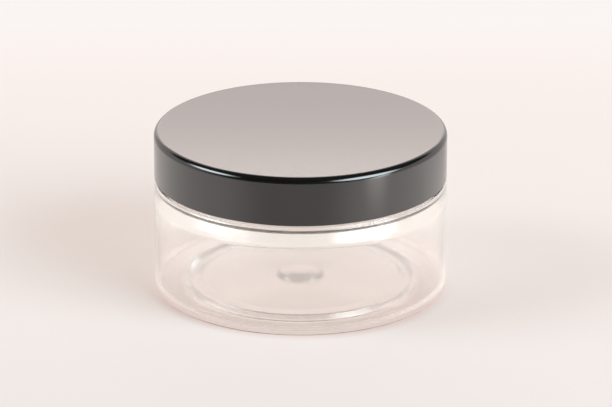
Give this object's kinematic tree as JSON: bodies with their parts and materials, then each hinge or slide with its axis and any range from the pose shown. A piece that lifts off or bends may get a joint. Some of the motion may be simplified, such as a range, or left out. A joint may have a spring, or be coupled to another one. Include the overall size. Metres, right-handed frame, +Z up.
{
  "type": "cosmetic jar",
  "caption": "Low round straight-sided clear plastic jar with a flush black screw lid and a foam sealing liner, for creams and balms.",
  "frame": {"origin": "centre of the base, on the plane of the foot ring that the jar stands on", "axes": "+Z up along the jar's axis, through the lid; the form is round, so X and Y are free"},
  "size_m": [0.07, 0.07, 0.039],
  "materials": {
    "clear_pet": "clear, glossy",
    "black_pp": "smooth, glossy",
    "white_foam": "fine closed-cell foam"
  },
  "bodies": {
    "jar": {"jar_body": "clear_pet"},
    "liner": {"lid_liner": "white_foam"},
    "lid": {"screw_lid": "black_pp"}
  },
  "joints": [
    {"name": "lid_lift", "type": "slide", "parent": "jar", "child": "liner", "axis": [0, 0, 1], "range_m": [0, 0.012]},
    {"name": "lid_turn", "type": "hinge", "parent": "liner", "child": "lid", "pos_m": [0, 0, 0.0362], "axis": [0, 0, 1], "range_deg": [0, 1080]}
  ],
  "couplings": [
    {"joint": "lid_lift", "follows": "lid_turn", "m_per_rad": 0.0006366}
  ]
}
